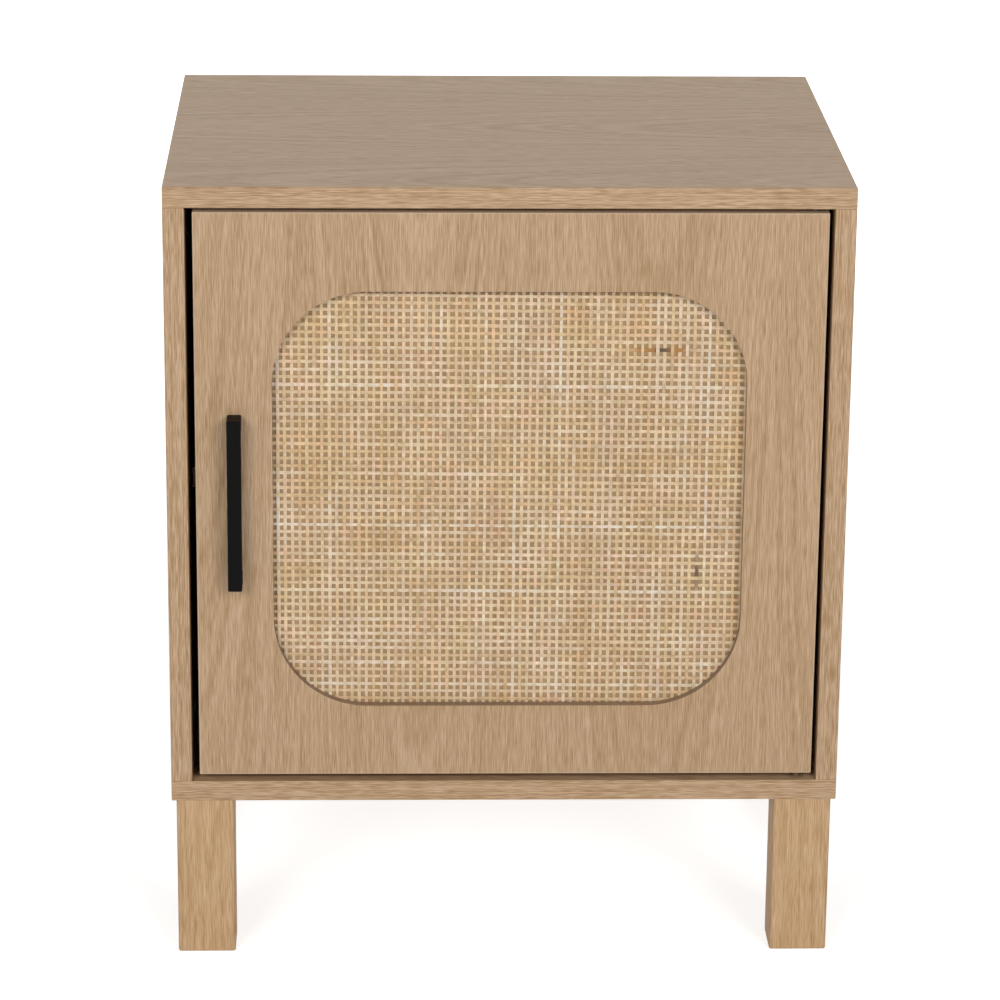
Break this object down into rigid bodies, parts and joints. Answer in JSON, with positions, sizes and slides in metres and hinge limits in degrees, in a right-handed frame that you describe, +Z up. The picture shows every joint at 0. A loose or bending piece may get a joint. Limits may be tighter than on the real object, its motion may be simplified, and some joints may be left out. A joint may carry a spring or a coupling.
{
  "type": "storage side table with door",
  "caption": "Side table with a boarded storage box on four legs, closed by a swinging door with woven cane in a rounded cut-out and a black bar handle.",
  "frame": {"origin": "on the floor, under the middle of the whole object's box, handle included", "axes": "+Z up, the door faces -Y, +X to the right of someone who faces the door"},
  "size_m": [0.48, 0.381, 0.573],
  "materials": {
    "oak_board": "satin oak-grain board",
    "oak_door": "satin oak-grain board, upright grain",
    "oak_leg": "satin oak, upright grain",
    "hardboard": "thin oak-coloured board",
    "cane": "woven natural cane",
    "dowel_beech": "plain beech",
    "black_metal": "matt black coating",
    "brown_metal": "dark brown coating",
    "steel": "zinc-plated",
    "brass": "turned",
    "oak_plastic": "moulded, the oak's colour",
    "catch_plastic": "moulded brown",
    "ferrite": "pressed ferrite"
  },
  "bodies": {
    "carcass": {"top_panel": "oak_board", "bottom_panel": "oak_board", "left_side_panel": "oak_board", "right_side_panel": "oak_board", "shelf": "oak_board", "front_left_leg": "oak_leg", "rear_left_leg": "oak_leg", "front_right_leg": "oak_leg", "rear_right_leg": "oak_leg", "back_panel": "hardboard", "leg_dowels": "dowel_beech", "panel_dowels": "dowel_beech", "shelf_pins": "steel", "leg_bolts": "steel", "cam_bolts": "steel", "cam_locks": "steel", "catch_pole_plates": "steel", "catch_screws": "steel", "leg_inserts": "brass", "upper_pivot_bushing": "oak_plastic", "lower_pivot_bushing": "oak_plastic", "pivot_pad": "oak_plastic", "catch_housing": "catch_plastic", "catch_magnet": "ferrite"},
    "door": {"door_frame": "oak_door", "cane_panel": "cane", "door_backing": "hardboard", "backing_screws": "steel", "handle": "black_metal", "handle_screws": "steel", "upper_pivot_pin": "brown_metal", "lower_pivot_pin": "brown_metal", "strike_plate": "steel", "strike_screws": "steel"}
  },
  "joints": [
    {"name": "door_swing", "type": "hinge", "parent": "carcass", "child": "door", "pos_m": [0.2113, -0.166, 0.134], "axis": [0, 0, 1], "range_deg": [0, 110]}
  ]
}
